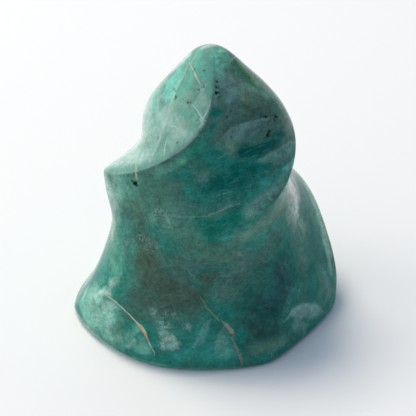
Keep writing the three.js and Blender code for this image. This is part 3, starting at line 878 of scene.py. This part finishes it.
def store(mesh, name, kind, values):
    """A point attribute of the mesh from an array of numbers or colours."""
    attribute = mesh.attributes.new(name, kind, "POINT")
    if kind == "FLOAT_COLOR":
        values = np.hstack([np.clip(values, 0, 1), np.ones((len(values), 1))])
        attribute.data.foreach_set("color", values.ravel().astype(np.float32))
    else:
        attribute.data.foreach_set("value", values.astype(np.float32))


def make_stone():
    points, faces, over_a, over_b = stone_grid()
    chip(points, faces)
    mesh = bpy.data.meshes.new("amazonite_stone")
    mesh.from_pydata(to_metres(points).tolist(), [], faces)
    mesh.polygons.foreach_set("use_smooth", np.ones(len(mesh.polygons), bool))
    mesh.update()
    normals = np.empty(3 * len(points), np.float32)
    mesh.vertex_normals.foreach_get("vector", normals)
    skin = Skin(points, faces, normals.reshape(-1, 3).astype(float), over_a, over_b)
    specks = paint_stone(skin)
    store(mesh, "tint", "FLOAT_COLOR", skin.tint)
    store(mesh, "line_tone", "FLOAT_COLOR", skin.line_tone)
    store(mesh, "line_gap", "FLOAT", skin.line_gap)
    store(mesh, "line_width", "FLOAT", skin.line_width)
    store(mesh, "line_strength", "FLOAT", skin.line_strength)
    store(mesh, "frost", "FLOAT", skin.frost)
    store(mesh, "face", "FLOAT", face_share(points, over_a))
    stone = bpy.data.objects.new("amazonite_stone", mesh)
    bpy.context.collection.objects.link(stone)
    return stone, specks


# ---- the stone's material

LAYER_NORMAL = (-0.44, 0.46, 0.77)  # the feldspar's layers lie across this direction
FACE_LAYER_NORMAL = (0.95, 0.1, -0.28)  # its second cleavage, which shows on the left face
LAYER_ROUGHNESS = 0.6
BEND_SCALE = 60  # per metre, as all noise scales of the material
BEND = 0.007  # metres by which the layers bend

# Noise that makes the tint lighter and darker: scale, detail, roughness, the noise values between
# which the factor changes, and the factors there.
MOTTLE = (330, 4, 0.6, 0.28, 0.72, 0.86, 1.16)
BLOTS = (800, 3, 0.6, 0.3, 0.7, 0.87, 1.15)
GRAIN = (1900, 3, 0.7, 0.3, 0.7, 0.84, 1.18)
# The same along the layers: length and thickness in metres, detail, noise values, factors.
BANDS = (0.008, 0.003, 4, 0.25, 0.75, 0.9, 1.11)
STREAKS = (0.0016, 0.0009, 2, 0.3, 0.7, 0.92, 1.09)
FACE_CALM = 0.5  # how much weaker all of them are on the left face

WISPS = (0.004, 0.0005, 3, 0.56, 0.72)  # thin pale layers
WISP_GROUPS = (150, 2, 0.5, 0.45, 0.65)
WISP_TONE = (0.2, 0.44, 0.38)
WISP_STRENGTH = 0.25

FROST_FLECKS = (1300, 5, 0.75, 0.46, 0.6)
FROST_CLUSTERS = (420, 2, 0.5, 0.36, 0.56)
FROST_WARP = 0.4
FROST_TONE = (0.42, 0.6, 0.52)

LINE_EDGE = 0.16  # softness of a thin line's borders in mm
LINE_WOBBLE_SCALE, LINE_WOBBLE = 700, 0.5
LINE_PATCHES = (500, 2, 0.5, 0.3, 0.6, 0.45, 1)

SPECK_EDGE = 0.0003  # metres
SPECK_TONE = (0.008, 0.012, 0.012)
JITTER_SCALE, JITTER = 1500, 0.0005  # the jitter in metres that makes the specks uneven

ROUGHNESS = (320, 3, 0.5, 0.3, 0.7, 0.09, 0.15)
FROST_ROUGHNESS = 0.12
FINE_BUMP_SCALE, FINE_BUMP = 900, 0.000012
BROAD_BUMP_SCALE, BROAD_BUMP = 160, 0.00006
SPECK_PIT = 0.00006  # metres
BUMP_STRENGTH = 0.6
SHINE = 0.06  # level of the mirror-like shine seen straight on, low so that the dark tones stay deep
SHINE_TINT = (0.5, 0.95, 0.85)


class Nodes:
    """Short calls that add shader nodes to a material or world."""

    def __init__(self, tree):
        self.tree = tree

    def add(self, kind, inputs=(), **settings):
        node = self.tree.nodes.new("ShaderNode" + kind)
        for name, value in settings.items():
            setattr(node, name, value)
        for name, value in dict(inputs).items():
            if isinstance(value, bpy.types.NodeSocket):
                self.tree.links.new(value, node.inputs[name])
            else:
                node.inputs[name].default_value = value
        return node

    def link(self, value, node, name):
        """Feeds an input of a node that the tree starts with."""
        self.tree.links.new(value, self.tree.nodes[node].inputs[name])

    def math(self, operation, a, b=0.0):
        return self.add("Math", {0: a, 1: b}, operation=operation).outputs[0]

    def vector(self, operation, a, b, c=(0, 0, 0)):
        return self.add("VectorMath", {0: a, 1: b, 2: c}, operation=operation).outputs[0]

    def scaled(self, colour, factor):
        return self.add("VectorMath", {0: colour, "Scale": factor}, operation="SCALE").outputs[0]

    def attribute(self, name, output="Fac"):
        return self.add("Attribute", attribute_name=name).outputs[output]

    def ramp(self, value, low, high, to_low=0.0, to_high=1.0):
        """Eases from one value to another as the input goes from low to high."""
        inputs = {"Value": value, "From Min": low, "From Max": high, "To Min": to_low, "To Max": to_high}
        return self.add("MapRange", inputs, interpolation_type="SMOOTHSTEP").outputs["Result"]

    def noise(self, place, scale, detail=2.0, roughness=0.5, distortion=0.0, output="Fac"):
        inputs = {"Vector": place, "Scale": scale, "Detail": detail, "Roughness": roughness,
                  "Distortion": distortion}
        return self.add("TexNoise", inputs).outputs[output]

    def texture(self, place, scale, detail, roughness, *ends, distortion=0.0):
        """Noise that eases between the ends that ramp takes."""
        return self.ramp(self.noise(place, scale, detail, roughness, distortion), *ends)

    def layers(self, place, normal, length, width):
        """Coordinates in which thin layers across the normal look as thick as they are long."""
        turn = Vector(normal).to_track_quat("Z", "Y").to_euler()
        inputs = {"Vector": place, "Rotation": turn, "Scale": (length, length, width)}
        return self.add("Mapping", inputs, vector_type="TEXTURE").outputs["Vector"]

    def between(self, share, a, b):
        """A number between two numbers."""
        return self.add("Mix", {"Factor": share, "A": a, "B": b}, data_type="FLOAT").outputs["Result"]

    def mix(self, share, a, b):
        """A colour between two colours."""
        node = self.add("Mix", data_type="RGBA")
        for name, value in {"Factor": share, "A": a, "B": b}.items():
            if isinstance(value, bpy.types.NodeSocket):
                self.tree.links.new(value, node.inputs[name])
            else:
                node.inputs[name].default_value = (*value, 1)
        return node.outputs["Result"]


def bent_place(n, place):
    """Object coordinates that bend a little, so that no layer runs dead straight."""
    bend = n.noise(place, BEND_SCALE, output="Color")
    offset = n.vector("SUBTRACT", bend, (0.5, 0.5, 0.5))
    return n.vector("ADD", place, n.vector("MULTIPLY", offset, (BEND, BEND, BEND)))


def layered(n, place, length, width, detail, *ends):
    """Noise stretched along the layers: one family on the left face, the other elsewhere."""
    main = n.noise(n.layers(place, LAYER_NORMAL, length, width), 1, detail, LAYER_ROUGHNESS)
    other = n.noise(n.layers(place, FACE_LAYER_NORMAL, length, width), 1, detail, LAYER_ROUGHNESS)
    return n.ramp(n.between(n.attribute("face"), main, other), *ends)


def stone_colour(n, place):
    """The painted tint, varied in layers, blotches, streaks and grain that are calmer on the face."""
    calm = n.math("MULTIPLY", n.attribute("face"), FACE_CALM)
    factors = [layered(n, place, *BANDS), n.texture(place, *MOTTLE), n.texture(place, *BLOTS),
               layered(n, place, *STREAKS), n.texture(place, *GRAIN)]
    colour = n.attribute("tint", "Color")
    for factor in factors:
        colour = n.scaled(colour, n.between(calm, factor, 1.0))
    wisps = n.math("MULTIPLY", layered(n, place, *WISPS), n.texture(place, *WISP_GROUPS))
    return n.mix(n.math("MULTIPLY", wisps, WISP_STRENGTH), colour, WISP_TONE)


def frost_share(n, place):
    flecks = n.texture(place, *FROST_FLECKS, distortion=FROST_WARP)
    clusters = n.texture(place, *FROST_CLUSTERS)
    return n.math("MULTIPLY", n.attribute("frost"), n.math("MULTIPLY", flecks, clusters))


def line_share(n, place):
    """How far the thin veins and lines cover the surface, their width and gaps uneven."""
    noise_value = n.math("SUBTRACT", n.noise(place, LINE_WOBBLE_SCALE, 3), 0.5)
    wobble = n.math("MULTIPLY", noise_value, LINE_WOBBLE)
    gap = n.math("ABSOLUTE", n.math("ADD", n.attribute("line_gap"), wobble))
    inside = n.math("SUBTRACT", n.attribute("line_width"), gap)
    share = n.math("MULTIPLY", n.ramp(inside, -LINE_EDGE, LINE_EDGE), n.attribute("line_strength"))
    return n.math("MULTIPLY", share, n.texture(place, *LINE_PATCHES))


def speck_share(n, place, specks):
    """Small dark inclusions, rounded but uneven, at the given places."""
    jitter = n.noise(place, JITTER_SCALE, output="Color")
    shaken = n.vector("MULTIPLY_ADD", jitter, (JITTER, JITTER, JITTER), place)
    share = 0.0
    for centre, radius, dark in specks:
        middle = tuple(to_metres(centre) + JITTER / 2)
        distance = n.add("VectorMath", {0: shaken, 1: middle}, operation="DISTANCE").outputs["Value"]
        edge = to_metres(radius)
        dot = n.ramp(distance, edge + SPECK_EDGE, edge - SPECK_EDGE / 2, 0.0, dark)
        share = n.math("MAXIMUM", dot, share)
    return share


def stone_height(n, place, dots):
    """The polish's faint waves and fine grain, with a small pit at each speck."""
    fine = n.math("MULTIPLY", n.noise(place, FINE_BUMP_SCALE), FINE_BUMP)
    broad = n.math("MULTIPLY", n.noise(place, BROAD_BUMP_SCALE), BROAD_BUMP)
    return n.math("SUBTRACT", n.math("ADD", fine, broad), n.math("MULTIPLY", dots, SPECK_PIT))


def stone_material(specks):
    material = bpy.data.materials.new("amazonite")
    material.use_nodes = True
    n = Nodes(material.node_tree)
    straight = n.add("TexCoord").outputs["Object"]
    place = bent_place(n, straight)
    frost = frost_share(n, place)
    dots = speck_share(n, straight, specks)
    colour = n.mix(frost, stone_colour(n, place), FROST_TONE)
    colour = n.mix(line_share(n, place), colour, n.attribute("line_tone", "Color"))
    colour = n.mix(dots, colour, SPECK_TONE)
    rough = n.math("ADD", n.texture(place, *ROUGHNESS), n.math("MULTIPLY", frost, FROST_ROUGHNESS))
    inputs = {"Height": stone_height(n, place, dots), "Strength": BUMP_STRENGTH, "Distance": 1.0}
    n.link(colour, "Principled BSDF", "Base Color")
    n.link(rough, "Principled BSDF", "Roughness")
    n.link(n.add("Bump", inputs).outputs["Normal"], "Principled BSDF", "Normal")
    shader = n.tree.nodes["Principled BSDF"]
    shader.inputs["Specular IOR Level"].default_value = SHINE
    shader.inputs["Specular Tint"].default_value = (*SHINE_TINT, 1)
    return material


# ---- floor and light

FLOOR_HALF = 3  # metres
FLOOR_COLOUR = (0.9, 0.9, 0.9)
FLOOR_ROUGHNESS = 0.9
PALE_SIDE = (-0.8, 0.5, 0.3)  # towards the window
PALE_TONE = (0.64, 0.73, 0.84)
FAR_TONE = (0.06, 0.11, 0.2)
LIGHT_AIM = (0, 0, 0.03)  # places and sizes of the lights in metres
LIGHT_COLOUR = (1, 0.9, 0.76)
WINDOW_PLACE = (-0.36, 0.4, 1.07)
WINDOW_SIZE = 0.42
WINDOW_POWER = 8.2
SIDE_PLACE = (-1.0, 0.15, 0.6)
SIDE_SIZE = 0.6
SIDE_POWER = 2.8


def make_floor():
    mesh = bpy.data.meshes.new("floor")
    corners = [(x * FLOOR_HALF, y * FLOOR_HALF, 0) for x, y in ((-1, -1), (1, -1), (1, 1), (-1, 1))]
    mesh.from_pydata(corners, [], [(0, 1, 2, 3)])
    floor = bpy.data.objects.new("floor", mesh)
    bpy.context.collection.objects.link(floor)
    material = bpy.data.materials.new("floor")
    material.use_nodes = True
    shader = material.node_tree.nodes["Principled BSDF"]
    shader.inputs["Base Color"].default_value = (*FLOOR_COLOUR, 1)
    shader.inputs["Roughness"].default_value = FLOOR_ROUGHNESS
    mesh.materials.append(material)


def area_light(name, place, size, power):
    """A square light that faces the stone."""
    data = bpy.data.lights.new(name, "AREA")
    data.size = size
    data.energy = power
    data.color = LIGHT_COLOUR
    light = bpy.data.objects.new(name, data)
    light.location = place
    light.rotation_euler = (Vector(LIGHT_AIM) - Vector(place)).to_track_quat("-Z", "Y").to_euler()
    bpy.context.collection.objects.link(light)


def make_world():
    """A soft surround, pale towards the window and darker and bluer away from it."""
    world = bpy.data.worlds.new("studio")
    world.use_nodes = True
    n = Nodes(world.node_tree)
    inputs = {0: n.add("TexCoord").outputs["Generated"], 1: Vector(PALE_SIDE).normalized()}
    facing = n.add("VectorMath", inputs, operation="DOT_PRODUCT").outputs["Value"]
    n.link(n.mix(n.ramp(facing, -1, 1), FAR_TONE, PALE_TONE), "Background", "Color")
    bpy.context.scene.world = world


def make_lights():
    make_world()
    area_light("window", WINDOW_PLACE, WINDOW_SIZE, WINDOW_POWER)
    area_light("side window", SIDE_PLACE, SIDE_SIZE, SIDE_POWER)


bpy.context.scene.view_settings.view_transform = "Standard"
make_camera()
make_floor()
make_lights()
stone, specks = make_stone()
stone.data.materials.append(stone_material(specks))
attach(stone, "root")
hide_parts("stone")
